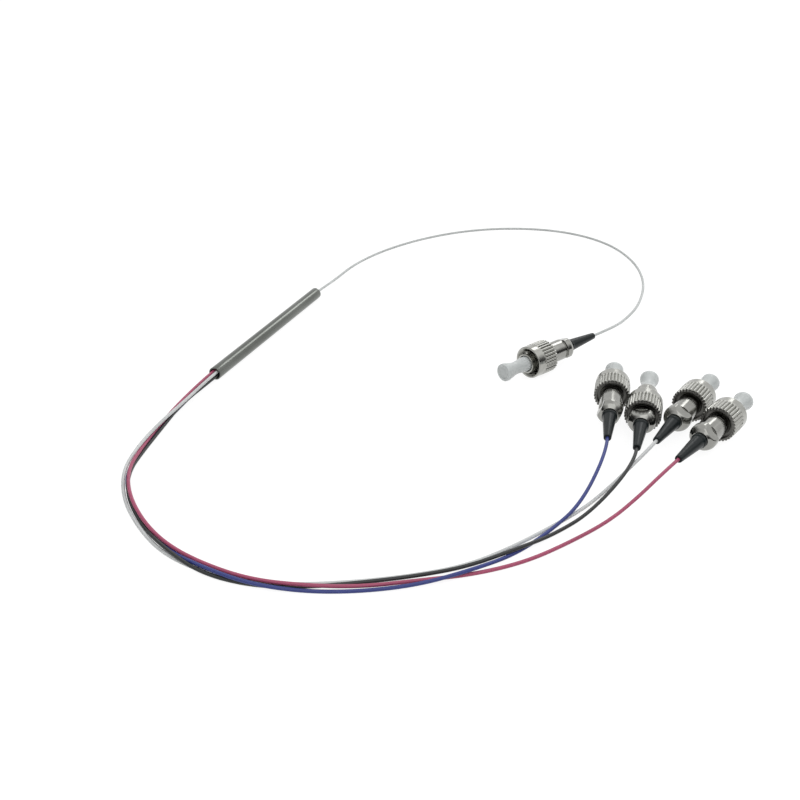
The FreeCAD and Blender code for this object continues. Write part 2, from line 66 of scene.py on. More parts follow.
# The input's route from the seal in the tube to the seat in the rear body, in metres.
INPUT_ROUTE = [
    (0.0293, 0, 0.002), (0.0385, 0, 0.002), (0.0525, 0.0009, 0.00045), (0.07, 0.0009, 0.00045),
    (0.0885, -0.0034, 0.00045), (0.1075, -0.0124, 0.00045), (0.125, -0.0265, 0.00045),
    (0.1368, -0.0455, 0.00045), (0.1402, -0.067, 0.00045), (0.1325, -0.0865, 0.00045),
    (0.1155, -0.1003, 0.00045), (0.094, -0.1083, 0.00045), (0.0706, -0.1101, 0.00045),
    (0.0541, -0.1073, 0.00045), (0.03589, -0.10555, 0.005), (0.02303, -0.09865, 0.005),
    (0.0166, -0.0952, 0.005),
]

# The outputs run in a bundle and twist round one another. BUNDLE is its middle line on the floor, in metres.
# An output has its points in the tube, then a lane and a level beside each point of that line, counted in
# cords to the left and upward, and then its points at the connector.
BUNDLE = [
    (-0.0535, -0.001), (-0.0655, -0.002), (-0.0775, -0.004), (-0.089, -0.0075), (-0.0985, -0.0145),
    (-0.106, -0.024), (-0.112, -0.0345), (-0.1152, -0.046), (-0.115, -0.058), (-0.112, -0.0695),
    (-0.107, -0.0805), (-0.1005, -0.091), (-0.093, -0.1005), (-0.084, -0.1085), (-0.074, -0.1145),
    (-0.062, -0.1205), (-0.052, -0.124),
]

# Distance between neighbours in the bundle, and the height of a cord's middle where it lies on the floor.
CORD_PITCH = 0.95 * MM
LOWEST_CORD = 0.45 * MM

OUTPUTS = {
    "blue": {
        "tube": [(-0.0293, 0.0006, 0.0014), (-0.0375, 0.0006, 0.0014)],
        "lanes": [
            (-1, 0), (-0.5, 0), (-0.5, 0), (-0.5, 0), (0.5, 0), (1, 0), (0.5, 0), (0, 1.5), (-1, 1), (-1, 0),
            (-1.5, 0), (-2, 0.5), (-1.5, 1.5), (0.5, 0), (1.5, 0.5), (3, 1.5),
        ],
        "plug": [(-0.0411, -0.1196, 0.005), (-0.02665, -0.11755, 0.005), (-0.0194, -0.1165, 0.005)],
    },
    "black": {
        "tube": [(-0.0293, -0.0006, 0.0014), (-0.0375, -0.0006, 0.0014)],
        "lanes": [
            (-0.5, 1), (0.5, 0.5), (0.5, 0), (0.5, 1), (0, 1), (0, 0), (-0.5, 1.5), (-1, 0.5), (-0.5, 0),
            (0.5, 0), (1, 0.5), (0.5, 1), (1, 0.5), (0.5, 1.5), (0, 0.5), (-0.5, 1),
        ],
        "plug": [(-0.04335, -0.1271, 0.005), (-0.0288, -0.12595, 0.005), (-0.0215, -0.1254, 0.005)],
    },
    "white": {
        "tube": [(-0.0293, -0.0006, 0.0026), (-0.0375, -0.0006, 0.0026)],
        "lanes": [
            (0.5, 2), (0, 2), (-0.5, 2), (-1, 1.5), (-1, 0.5), (-1, 0), (-1, 0), (0, 0), (0.5, 0), (1.5, 0),
            (2, 0), (2, 0), (2, 0), (3, 0), (3, 0), (2.5, 0), (2, 0.5),
        ],
        "plug": [(-0.03755, -0.1287, 0.005), (-0.0234, -0.13215, 0.005), (-0.0163, -0.1339, 0.005)],
    },
    "red": {
        "tube": [(-0.0293, 0.0006, 0.0026), (-0.0375, 0.0006, 0.0026)],
        "lanes": [
            (-0.5, 2), (-0.5, 1), (0, 1), (0.5, 2), (0.5, 2), (0.5, 1), (1, 1), (1.5, 1), (0.5, 1), (0, 1),
            (-0.5, 0.5), (-0.5, 0.5), (-1.5, 0), (-3, 0), (-4, 0), (-5.5, 0.5), (-7, 2.5),
        ],
        "plug": [(-0.0445, -0.13455, 0.005), (-0.03065, -0.13925, 0.005), (-0.02375, -0.14155, 0.005)],
    },
}


def output_route(tube, lanes, plug):
    """Control points of one output, in metres.

    A point of the bundle's middle line is moved to its left by the lane times the pitch, and raised by the
    level times the pitch.
    """
    lane, level = np.array(lanes, float).T[:, :, None]
    middle = np.array(BUNDLE, float)
    ahead = np.gradient(middle, axis=0)
    ahead /= np.linalg.norm(ahead, axis=1, keepdims=True)
    left = np.column_stack([-ahead[:, 1], ahead[:, 0]])
    count = len(lanes)
    across = middle[:count] + CORD_PITCH * lane * left[:count]
    return np.vstack([tube, np.hstack([across, LOWEST_CORD + CORD_PITCH * level]), plug])


ROUTES = {port: output_route(**route) for port, route in OUTPUTS.items()}
ROUTES["input"] = np.array(INPUT_ROUTE, float)

# How far each connector lies rolled about its own axis, in degrees, clockwise from behind.
ROLLS = {"input": 25, "blue": 110, "black": -10, "white": 28, "red": 45}


def length(name, description, millimetres):
    """A length that a user may change, given here in millimetres."""
    size = millimetres * MM
    return FloatProperty(name=name, description=description, default=size, unit="LENGTH", precision=5)


def angle(name, description, degrees):
    """An angle that a user may change, given here in degrees."""
    turn = math.radians(degrees)
    return FloatProperty(name=name, description=description, default=turn, unit="ROTATION")


def number(name, description, value, **kind):
    """A number that a user may change, with its unit or subtype where it has one."""
    return FloatProperty(name=name, description=description, default=value, **kind)


def whole(name, description, value, least):
    """A count that a user may change."""
    return IntProperty(name=name, description=description, default=value, min=least)


def colour(name, description, value):
    """A colour that a user may change."""
    return FloatVectorProperty(
        name=name, description=description, default=value, subtype="COLOR", min=0, max=1
    )


class TubeSizes(PropertyGroup):
    """Steel tube and the potting in its ends."""

    span: length("Length", "Tube from end to end", 69)
    radius: length("Radius", "Outside of the tube", 2)
    wall: length("Wall", "Thickness of the tube", 0.35)
    edge: length("Edge", "Rounding of the tube's ends", 0.12)
    recess: length("Recess", "How far the potting stands back from the tube's end", 1.2)
    potting: length("Potting", "Length of each potting plug", 6)
    meniscus: length("Meniscus", "How far the potting sinks in its middle", 0.3)


class CordSizes(PropertyGroup):
    """Loose tube round each fibre."""

    diameter: length("Diameter", "Outside of a pigtail", 0.9)


class BootSizes(PropertyGroup):
    """Strain relief of a connector."""

    span: length("Length", "Boot from its tip to the rear body", 12.4)
    bore: length("Bore", "Radius of the hole for the pigtail", 0.5)
    tip: length("Tip", "Radius at the tip", 1)
    radius: length("Radius", "Radius where the rim begins", 1.85)
    rim: length("Rim", "Radius of the rim", 2.1)
    rim_span: length("Rim Length", "Length of the rim", 1.2)


class BodySizes(PropertyGroup):
    """Turned rear body of a connector."""

    span: length("Length", "Rear body from the boot to the plug frame", 9.4)
    cone: length("Cone", "Radius where the cone meets the boot", 2.25)
    cone_span: length("Cone Length", "Length of the cone", 0.8)
    bevel_span: length("Bevel Length", "Length of the bevel between the cone and the collar", 1)
    bevel_step: length("Bevel Step", "How much the bevel widens", 0.4)
    collar: length("Collar", "Radius of the collar", 3.75)
    collar_end: length("Collar End", "Where the collar ends", 3.4)
    flat: length("Flat", "Distance of each wrench flat from the axis", 2.85)
    flat_end: length("Flat End", "Where the wrench flats end", 3.6)
    barrel: length("Barrel", "Radius of the barrel", 3.2)
    spring_bore: length("Spring Bore", "Radius of the spring's bore", 2.3)
    spring_seat: length("Spring Seat", "Where the spring's bore ends", 3)


class FrameSizes(PropertyGroup):
    """Plug frame of a connector."""

    shoulder: length("Shoulder", "Radius of the shoulder that stops the nut", 3.55)
    shoulder_at: length("Shoulder At", "Where the shoulder begins, from the rear body", 4.6)
    shoulder_span: length("Shoulder Length", "Length of the shoulder", 1)
    sleeve: length("Sleeve", "Outside radius of the sleeve", 3)
    sleeve_bore: length("Sleeve Bore", "Inside radius of the sleeve", 2.5)
    sleeve_span: length("Sleeve Length", "Length of the sleeve", 4)
    key_width: length("Key Width", "Width of the alignment key", 2)
    key_span: length("Key Length", "Length of the alignment key", 3)
    guide: length("Guide", "Radius of the hole that guides the ferrule", 1.33)


class FerruleSizes(PropertyGroup):
    """Ferrule of a connector, its flange and its spring."""

    radius: length("Radius", "Radius of the ferrule", 1.25)
    reach: length("Reach", "How far the ferrule stands out of the plug frame", 3)
    bevel: length("Bevel", "Bevel at the tip", 0.15)
    fibre: length("Fibre", "Radius of the polished fibre end", 0.0625)
    flange: length("Flange", "Radius of the flange", 2.15)
    flange_span: length("Flange Length", "Length of the flange", 2)
    stop_gap: length("Stop Gap", "Play between the flange and the plug frame", 0.02)
    wire: length("Wire", "Diameter of the spring's wire", 0.35)
    coil: length("Coil", "Radius of the coil at the middle of its wire", 1.97)
    turns: whole("Turns", "Turns of the spring", 4, least=1)


class NutSizes(PropertyGroup):
    """Knurled coupling nut of a connector."""

    span: length("Length", "Nut from end to end", 8.2)
    radius: length("Radius", "Outside of the knurl", 5)
    collar_span: length("Collar", "Length of the smooth collar in front of the knurl", 2.6)
    collar_step: length("Collar Step", "How far the smooth collar is turned down", 0.08)
    step_span: length("Step Length", "Length of the step between the knurl and the collar", 0.25)
    rim: length("Rim", "Rounding of the front rim", 0.2)
    lip: length("Lip", "Width of the front rim", 0.45)
    mouth_span: length("Mouth Length", "Length of the lead-in to the thread", 0.7)
    back_slope: length("Back Slope", "How far the rear face slopes forward to the knurl", 0.4)
    recess: length("Recess", "Radius of the recess at the back", 4.1)
    recess_span: length("Recess Depth", "Depth of the recess at the back", 1.2)
    web: length("Web", "Radius of the bore that rides on the barrel", 3.28)
    web_span: length("Web Length", "Length of the web", 1.5)
    thread: length("Thread", "Radius at the crest of the thread", 3.75)
    thread_pitch: length("Thread Pitch", "Pitch of the thread", 0.75)
    thread_depth: length("Thread Depth", "Depth of the thread", 0.38)
    knurl_depth: length("Knurl Depth", "Depth of the knurl's grooves", 0.4)
    knurls: whole("Knurls", "Teeth round the nut", 31, least=3)


class CapSizes(PropertyGroup):
    """Dust cap over a ferrule."""

    seat_gap: length("Seat Gap", "Gap between the cap and the plug frame's floor", 1)
    bore: length("Bore", "Radius of the hole for the ferrule", 1.29)
    bore_span: length("Bore Depth", "Depth of the hole for the ferrule", 6.6)
    barrel: length("Barrel", "Radius of the straight part", 2.3)
    barrel_span: length("Barrel Length", "Length of the straight part", 4)
    waist: length("Waist", "Radius of the waist", 1.8)
    waist_at: length("Waist At", "Where the waist is", 7.6)
    flare: length("Flare", "Radius of the flared end", 2.7)
    flare_at: length("Flare At", "Where the flare is at its full width", 11.4)
    span: length("Length", "Cap from end to end", 12.4)
    dish: length("Dish", "How far the flared end is hollowed", 0.35)


class FinishColours(PropertyGroup):
    """Colours of the finishes."""

    steel: colour("Steel", "Dull grey tube", (0.14, 0.147, 0.136))
    nickel: colour("Nickel", "Plated connector bodies", (0.385, 0.385, 0.36))
    # Painted shade: the rear bodies take the nut's nickel a little darker, for the shade and dark reflection
    # of the nut in front of them.
    body: colour("Body", "Plated rear bodies, a little darker", (0.31, 0.31, 0.292))
    # The recess colour is painted shade: the back of each nut is made darker where shade and dark reflections
    # fall.
    recess: colour("Recess", "Dull plate at the back of a nut", (0.13, 0.128, 0.12))
    spring: colour("Spring", "Bright spring wire", (0.55, 0.55, 0.55))
    boot: colour("Boot", "Black rubber", (0.008, 0.012, 0.013))
    cap: colour("Cap", "Milky plastic caps", (0.53, 0.555, 0.55))
    ceramic: colour("Ceramic", "White ferrules", (0.83, 0.82, 0.78))
    potting: colour("Potting", "Dark resin in the tube's ends", (0.02, 0.02, 0.021))
    glass: colour("Glass", "Quartz carrier and fused fibre", (0.93, 0.95, 0.96))
    input_cord: colour("Input Cord", "Pigtail of the input", (0.5, 0.52, 0.515))
    white_cord: colour("White Cord", "White output pigtail", (0.56, 0.575, 0.575))
    blue_cord: colour("Blue Cord", "Blue output pigtail", (0.03, 0.045, 0.21))
    black_cord: colour("Black Cord", "Black output pigtail", (0.022, 0.024, 0.025))
    red_cord: colour("Red Cord", "Red output pigtail", (0.37, 0.065, 0.135))
    floor: colour("Floor", "Pale floor", (0.9, 0.9, 0.9))


class StudioSettings(PropertyGroup):
    """Floor, light tent and lamps."""

    floor_span: length("Floor", "Width of the floor", 8000)
    floor_gap: length("Floor Gap", "How far the floor is below the object", 0.05)
    shadow: number("Shadow", "How much of the floor's shadow shows", 0.2, subtype="FACTOR")
    tent: number("Tent", "Light of the white tent", 1.0)
    flag_radius: length("Flag Distance", "How far the dark screen stands from the origin", 1500)
    flag_height: length("Flag Height", "Where the dark screen has faded out", 1300)
    flag_fade: length("Flag Fade", "Where the dark screen starts to fade", 350)
    flag_tone: number("Flag Tone", "Grey of the dark screen", 0.06, subtype="FACTOR")
    open_turn: angle("Open Turn", "How far right of ahead the middle of the screen's open side is", 28)
    open_span: angle("Open Side", "Width of the screen's open side", 110)
    lamp_reach: length("Lamp Distance", "How far each lamp stands from the object", 900)
    lamp_span: length("Lamp Width", "Width of the front and right lamps", 800)
    lamp_lift: angle("Lamp Lift", "Height of the front and right lamps", 50)
    rear_span: length("Rear Lamp Width", "Width of the small lamp in the open side", 250)
    rear_lift: angle("Rear Lift", "Height of the rear lamp", 37)
    front_power: number("Front Power", "Power of the front lamp", 1.6, unit="POWER")
    right_power: number("Right Power", "Power of the right lamp", 0.5, unit="POWER")
    rear_power: number("Rear Power", "Power of the rear lamp", 0.6, unit="POWER")


class ShotSettings(PropertyGroup):
    """Camera."""

    place: FloatVectorProperty(
        name="Place",
        description="Where the camera stands",
        default=(-0.25245, -0.14788, 0.13378),
        subtype="TRANSLATION",
        unit="LENGTH",
    )
    heading: angle("Heading", "Direction of view from X", 21.852)
    pitch: angle("Pitch", "Direction of view below the horizon", 28.69)
    lens: number("Lens", "Focal length in millimetres", 42.93, unit="CAMERA")
    sensor: number("Sensor", "Width of the picture in the camera, in millimetres", 36, unit="CAMERA")


# Columns round the plain turned pieces.
COLUMNS = 64

# Edges sharper than this stay sharp in the shading.
SHARP_ANGLE = math.radians(40)

# What counts as no length at all, in metres.
NOTHING = 1e-9

# The most that a rounding takes of either edge beside it.
LONGEST_CUT = 0.49

# Half the width over which a milled edge is softened.
SOFT_EDGE = 0.06 * MM

# Middle part of a noise, which is spread over the limits asked for.
NOISE_MIDDLE = {"From Min": 0.3, "From Max": 0.7}

# Middle of the object, which the lamps are turned to.
LAMP_TARGET = (0, -0.06, 0)


def rounded(corners, steps=6):
    """A profile through (along, radius, rounding) corners, as an array of (along, radius) rows.

    A corner with a rounding becomes an arc that touches both of its edges; others stay sharp.
    """
    spots = np.array([corner[:2] for corner in corners], float)
    rows = []
    for index, corner in enumerate(corners):
        spot = spots[index]
        before = spots[index - 1] - spot
        after = spots[(index + 1) % len(spots)] - spot
        if corner[2] == 0:
            rows.append(spot[None])
            continue
        before_span = np.linalg.norm(before)
        after_span = np.linalg.norm(after)
        before = before / before_span
        after = after / after_span
        half = math.acos(float(np.clip(before @ after, -1, 1))) / 2
        cut = min(corner[2] / math.tan(half), LONGEST_CUT * before_span, LONGEST_CUT * after_span)
        radius = cut * math.tan(half)
        inward = (before + after) / np.linalg.norm(before + after)
        centre = spot + inward * radius / math.sin(half)
        sweep = np.linspace(0, 1, steps + 1)[:, None]
        start = spot + before * cut - centre
        end = spot + after * cut - centre
        open_angle = math.pi - 2 * half
        arc = np.sin((1 - sweep) * open_angle) * start + np.sin(sweep * open_angle) * end
        rows.append(centre + arc / math.sin(open_angle))
    return np.concatenate(rows)


def refined(profile, step, closed):
    """The same profile with points added so that no two neighbours are further apart than the step."""
    path = np.concatenate([profile, profile[:1]]) if closed else profile
    spans = np.linalg.norm(np.diff(path, axis=0), axis=1)
    keep = np.concatenate([[True], spans > NOTHING])
    path = path[keep]
    run = np.concatenate([[0], np.cumsum(spans[spans > NOTHING])])
    counts = np.maximum(1, np.ceil(np.diff(run) / step).astype(int))
    pieces = [np.linspace(a, b, n, endpoint=False) for a, b, n in zip(run[:-1], run[1:], counts)]
    stops = np.concatenate(pieces if closed else pieces + [run[-1:]])
    return np.stack([np.interp(stops, run, path[:, 0]), np.interp(stops, run, path[:, 1])], axis=1)


def smooth_step(low, high, value):
    """0 below low, 1 above high and an even S-curve between them."""
    share = np.clip((value - low) / (high - low), 0, 1)
    return share * share * (3 - 2 * share)


def grid_mesh(name, points, closed_rows, start_pole=False, end_pole=False):
    """A mesh object from a grid of points that closes round its columns, with a UV map.

    U is the share of the turn and V the share of the rows. Closed rows join the last row to the first. A pole
    makes its row one point, so that the faces beside it are triangles.
    """
    rows, columns = points.shape[:2]
    index = np.arange(rows * columns).reshape(rows, columns)
    if start_pole:
        index[0] = index[0, 0]
    if end_pole:
        index[-1] = index[-1, 0]
    lower = index if closed_rows else index[:-1]
    upper = np.roll(index, -1, axis=0) if closed_rows else index[1:]
    faces = np.stack([lower, np.roll(lower, -1, axis=1), np.roll(upper, -1, axis=1), upper], axis=-1)
    strips = faces.shape[0]
    u = np.arange(columns) / columns
    v = np.arange(strips) / strips
    u_corners = np.stack([u, u + 1 / columns, u + 1 / columns, u], axis=-1)
    v_corners = np.stack([v, v, v + 1 / strips, v + 1 / strips], axis=-1)
    uv = np.stack(np.broadcast_arrays(u_corners[None], v_corners[:, None]), axis=-1)
    keep = np.ones(faces.shape, bool)
    if start_pole:
        keep[0, :, 1] = False
    if end_pole:
        keep[-1, :, 2] = False
    used, loops = np.unique(faces[keep], return_inverse=True)
    totals = keep.sum(axis=-1).ravel()
    mesh = bpy.data.meshes.new(name)
    mesh.vertices.add(len(used))
    mesh.vertices.foreach_set("co", points.reshape(-1, 3)[used].astype(np.float32).ravel())
    mesh.loops.add(len(loops))
    mesh.loops.foreach_set("vertex_index", loops.astype(np.int32).ravel())
    mesh.polygons.add(len(totals))
    mesh.polygons.foreach_set("loop_start", (np.cumsum(totals) - totals).astype(np.int32))
    mesh.update(calc_edges=True)
    mesh.uv_layers.new(name="UVMap").data.foreach_set("uv", uv[keep].astype(np.float32).ravel())
    mesh.shade_smooth()
    mesh.set_sharp_from_angle(angle=SHARP_ANGLE)
    if mesh.validate():
        raise RuntimeError("the surface of %s is not sound" % name)
    item = bpy.data.objects.new(name, mesh)
    bpy.context.scene.collection.objects.link(item)
    return item


def turned(name, profile, columns, place, swell=None):
    """A turned piece: point (s, a) is (along(s), r cos a, r sin a), with r from the profile or from swell.

    The profile runs forwards along the outside and back along the inside. It is a ring, unless it starts and
    ends on the axis.
    """
    ring = profile[0, 1] > NOTHING
    angles = 2 * np.pi * np.arange(columns) / columns
    along = np.repeat(profile[:, :1], columns, axis=1)
    radius = np.repeat(profile[:, 1:], columns, axis=1)
    if swell is not None:
        radius = swell(along, radius, angles[None])
    local = np.stack([along, radius * np.cos(angles), radius * np.sin(angles)], axis=-1)
    return grid_mesh(name, place(local), closed_rows=ring, start_pole=not ring, end_pole=not ring)


def along_tube(local):
    """Points of a piece that is turned about the tube's own axis, which is level and above the origin."""
    return local + np.array([0, 0, bpy.context.scene.coupler_tube.radius])


def node_points(name):
    """The corners of a packed node's mesh."""
    mesh = frame["nodes"][name].data
    points = np.empty(len(mesh.vertices) * 3, np.float32)
    mesh.vertices.foreach_get("co", points)
    return points.reshape(-1, 3).astype(float)


def plug_front():
    """How far the front of the plug frame is from the boot, along a connector."""
    body = bpy.context.scene.coupler_body
    plug = bpy.context.scene.coupler_frame
    return body.span + plug.shoulder_at + plug.shoulder_span + plug.sleeve_span


def connector_axes(port):
    """Foot of a connector, where its boot meets the rear body, and its own three directions, ahead first."""
    joint = next(item for item in frame["joints"] if item["name"] == port + "_nut_turn")
    ahead = np.array(joint["axis"], float)
    up = np.array([0.0, 0.0, 1.0])
    left = np.cross(up, ahead)
    cosine = math.cos(math.radians(ROLLS[port]))
    sine = math.sin(math.radians(ROLLS[port]))
    axes = np.stack([ahead, cosine * left + sine * up, cosine * up - sine * left])
    return np.array(joint["pos_m"], float) - ahead * plug_front(), axes


def along_connector(port):
    """A function that moves points from a connector's own frame to their place on the object."""
    foot, axes = connector_axes(port)
    return lambda local: foot + local @ axes


def finish(piece, material, body, slot, *nodes):
    """Gives a piece its material and its body, and hides the nodes that it stands for; the slot is not used.
    """
    piece.data.materials.append(material)
    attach(piece, body)
    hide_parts(*nodes)
    return piece


def add(tree, kind, inputs=None, **settings):
    """A new node with its settings and its plain input values."""
    item = tree.nodes.new(kind)
    for name, value in settings.items():
        setattr(item, name, value)
    for name, value in (inputs or {}).items():
        item.inputs[name].default_value = value
    return item


def connect(tree, *links):
    """Joins sockets, each link given as a node, its output, the next node and its input."""
    for source, output, target, socket in links:
        tree.links.new(source.outputs[output], target.inputs[socket])


def new_group(name, inputs, outputs):
    """An empty shader group with sockets of the given names and kinds, and its input and output nodes."""
    group = bpy.data.node_groups.new(name, "ShaderNodeTree")
    for label, kind in inputs.items():
        group.interface.new_socket(label, in_out="INPUT", socket_type="NodeSocket" + kind)
    for label, kind in outputs.items():
        group.interface.new_socket(label, in_out="OUTPUT", socket_type="NodeSocket" + kind)
    return group, group.nodes.new("NodeGroupInput"), group.nodes.new("NodeGroupOutput")


# Sockets of a group that makes a texture.
TEXTURE_INPUTS = {"Vector": "Vector", "Scale": "Float", "Low": "Float", "High": "Float"}
TEXTURE_OUTPUTS = {"Value": "Float", "Height": "Float"}


def turning_marks_group():
    """Fine rings round a turned piece, from its UV: noise that changes quickly along V and slowly round U."""
    if "Turning Marks" in bpy.data.node_groups:
        return bpy.data.node_groups["Turning Marks"]
    group, given, made = new_group("Turning Marks", TEXTURE_INPUTS, TEXTURE_OUTPUTS)
    parts = add(group, "ShaderNodeSeparateXYZ")
    rings = add(group, "ShaderNodeMath", operation="MULTIPLY")
    around = add(group, "ShaderNodeMath", {1: 2 * math.pi}, operation="MULTIPLY")
    cosine = add(group, "ShaderNodeMath", operation="COSINE")
    sine = add(group, "ShaderNodeMath", operation="SINE")
    spot = add(group, "ShaderNodeCombineXYZ")
    noise = add(group, "ShaderNodeTexNoise", {"Scale": 1.0, "Detail": 3.0, "Roughness": 0.6})
    spread = add(group, "ShaderNodeMapRange", NOISE_MIDDLE)
    connect(
        group,
        (given, "Vector", parts, 0),
        (parts, "Y", rings, 0),
        (given, "Scale", rings, 1),
        (parts, "X", around, 0),
        (around, 0, cosine, 0),
        (around, 0, sine, 0),
        (cosine, 0, spot, "X"),
        (sine, 0, spot, "Y"),
        (rings, 0, spot, "Z"),
        (spot, 0, noise, "Vector"),
        (noise, "Fac", spread, "Value"),
        (given, "Low", spread, "To Min"),
        (given, "High", spread, "To Max"),
        (spread, "Result", made, "Value"),
        (noise, "Fac", made, "Height"),
    )
    return group


def fine_grain_group():
    """Fine even grain of a moulded or cast surface, as a value between two limits and as a height."""
    if "Fine Grain" in bpy.data.node_groups:
        return bpy.data.node_groups["Fine Grain"]
    group, given, made = new_group("Fine Grain", TEXTURE_INPUTS, TEXTURE_OUTPUTS)
    noise = add(group, "ShaderNodeTexNoise", {"Detail": 4.0, "Roughness": 0.6})
    spread = add(group, "ShaderNodeMapRange", NOISE_MIDDLE)
    connect(
        group,
        (given, "Vector", noise, "Vector"),
        (given, "Scale", noise, "Scale"),
        (noise, "Fac", spread, "Value"),
        (given, "Low", spread, "To Min"),
        (given, "High", spread, "To Max"),
        (spread, "Result", made, "Value"),
        (noise, "Fac", made, "Height"),
    )
    return group


def tone_drift_group():
    """A colour whose lightness drifts in broad soft patches."""
    if "Tone Drift" in bpy.data.node_groups:
        return bpy.data.node_groups["Tone Drift"]
    limits = {"Darkest": "Float", "Lightest": "Float"}
    inputs = {"Colour": "Color", "Vector": "Vector", "Scale": "Float", **limits}
    group, given, made = new_group("Tone Drift", inputs, {"Colour": "Color"})
    noise = add(group, "ShaderNodeTexNoise", {"Detail": 2.0})
    spread = add(group, "ShaderNodeMapRange", NOISE_MIDDLE)
    shade = add(group, "ShaderNodeVectorMath", operation="SCALE")
    connect(
        group,
        (given, "Vector", noise, "Vector"),
        (given, "Scale", noise, "Scale"),
        (noise, "Fac", spread, "Value"),
        (given, "Darkest", spread, "To Min"),
        (given, "Lightest", spread, "To Max"),
        (given, "Colour", shade, 0),
        (spread, "Result", shade, "Scale"),
        (shade, 0, made, "Colour"),
    )
    return group


def new_material(name):
    """A new material, its tree, its shader and its texture coordinates; an old one of that name goes."""
    if name in bpy.data.materials:
        bpy.data.materials.remove(bpy.data.materials[name])
    material = bpy.data.materials.new(name)
    material.use_nodes = True
    tree = material.node_tree
    return material, tree, tree.nodes["Principled BSDF"], add(tree, "ShaderNodeTexCoord")


def drift(tree, shader, where, value, scale, darkest, lightest):
    """Feeds the shader's base colour with a softly drifting tone."""
    item = add(
        tree,
        "ShaderNodeGroup",
        {"Colour": (*value, 1), "Scale": scale, "Darkest": darkest, "Lightest": lightest},
        node_tree=tone_drift_group(),
    )
    connect(tree, (where, "Object", item, "Vector"), (item, "Colour", shader, "Base Color"))


def texture(tree, shader, effect, where, scale, low, high, depth):
    """Feeds the shader's roughness and a bump from a grain or from turning marks, at a given output."""
    item = add(tree, "ShaderNodeGroup", {"Scale": scale, "Low": low, "High": high}, node_tree=effect)
    bump = add(tree, "ShaderNodeBump", {"Strength": 1.0, "Distance": depth})
    tree.links.new(where, item.inputs["Vector"])
    connect(
        tree,
        (item, "Value", shader, "Roughness"),
        (item, "Height", bump, "Height"),
        (bump, "Normal", shader, "Normal"),
    )


def nickel(name, value, rings, low, high):
    """Nickel plate over turned brass: fine rings in its gloss and a faint drift of tone."""
    material, tree, shader, where = new_material(name)
    shader.inputs["Metallic"].default_value = 1
    drift(tree, shader, where, value, scale=400, darkest=0.9, lightest=1.05)
    texture(tree, shader, turning_marks_group(), where.outputs["UV"], rings, low, high, depth=8e-7)
    return material


def grained(name, value, drift_scale, darkest, lightest, **grain):
    """A new material with a softly drifting tone and a fine grain, and its shader."""
    material, tree, shader, where = new_material(name)
    drift(tree, shader, where, value, drift_scale, darkest, lightest)
    texture(tree, shader, fine_grain_group(), where.outputs["Object"], **grain)
    return material, shader


def brushed_steel(colours):
    """Dull steel tube, brushed along its length."""
    material, tree, shader, where = new_material("Brushed Steel")
    shader.inputs["Metallic"].default_value = 1
    stretch = add(tree, "ShaderNodeMapping", {"Scale": (0.02, 1, 1)})
    connect(tree, (where, "Object", stretch, "Vector"))
    drift(tree, shader, where, colours.steel, scale=90, darkest=0.86, lightest=1.1)
    grain = fine_grain_group()
    texture(tree, shader, grain, stretch.outputs[0], scale=6000, low=0.18, high=0.28, depth=2e-6)
    return material


def spring_wire(colours):
    """Bright drawn wire."""
    tone = {"drift_scale": 800, "darkest": 0.9, "lightest": 1.05}
    grain = {"scale": 4000, "low": 0.2, "high": 0.3, "depth": 1e-6}
    material, shader = grained("Spring Wire", colours.spring, **tone, **grain)
    shader.inputs["Metallic"].default_value = 1
    return material


def moulded(name, value, **grain):
    """Moulded plastic, rubber or resin with a fine grain."""
    return grained(name, value, drift_scale=120, darkest=0.93, lightest=1.07, **grain)[0]


def clear_cap(colours):
    """Milky clear plastic of the dust caps."""
    tone = {"drift_scale": 150, "darkest": 0.95, "lightest": 1.03}
    grain = {"scale": 900, "low": 0.25, "high": 0.35, "depth": 1e-6}
    material, shader = grained("Cap Plastic", colours.cap, **tone, **grain)
    shader.inputs["IOR"].default_value = 1.46
    shader.inputs["Subsurface Weight"].default_value = 0.5
    shader.inputs["Subsurface Scale"].default_value = 1.0 * MM
    shader.inputs["Subsurface Radius"].default_value = (1, 1, 1)
    return material


def clear_glass(colours):
    """Quartz and fused silica."""
    tone = {"drift_scale": 60, "darkest": 0.97, "lightest": 1.0}
    grain = {"scale": 500, "low": 0.02, "high": 0.1, "depth": 1e-6}
    material, shader = grained("Fused Silica", colours.glass, **tone, **grain)
    shader.inputs["IOR"].default_value = 1.46
    shader.inputs["Transmission Weight"].default_value = 0.9
    return material


def dressed(node, material):
    """A packed node that keeps its own shape and gets a finish."""
    mesh = frame["nodes"][node].data
    mesh.materials.clear()
    mesh.materials.append(material)


def stage_piece(scene, name, points, faces, material_name):
    """A piece of the stage with an empty material, and that material's tree."""
    mesh = bpy.data.meshes.new(name)
    mesh.from_pydata(points.tolist(), [], faces.tolist())
    piece = bpy.data.objects.new(name, mesh)
    scene.collection.objects.link(piece)
    material = bpy.data.materials.new(material_name)
    material.use_nodes = True
    material.node_tree.nodes.clear()
    mesh.materials.append(material)
    return piece, material.node_tree


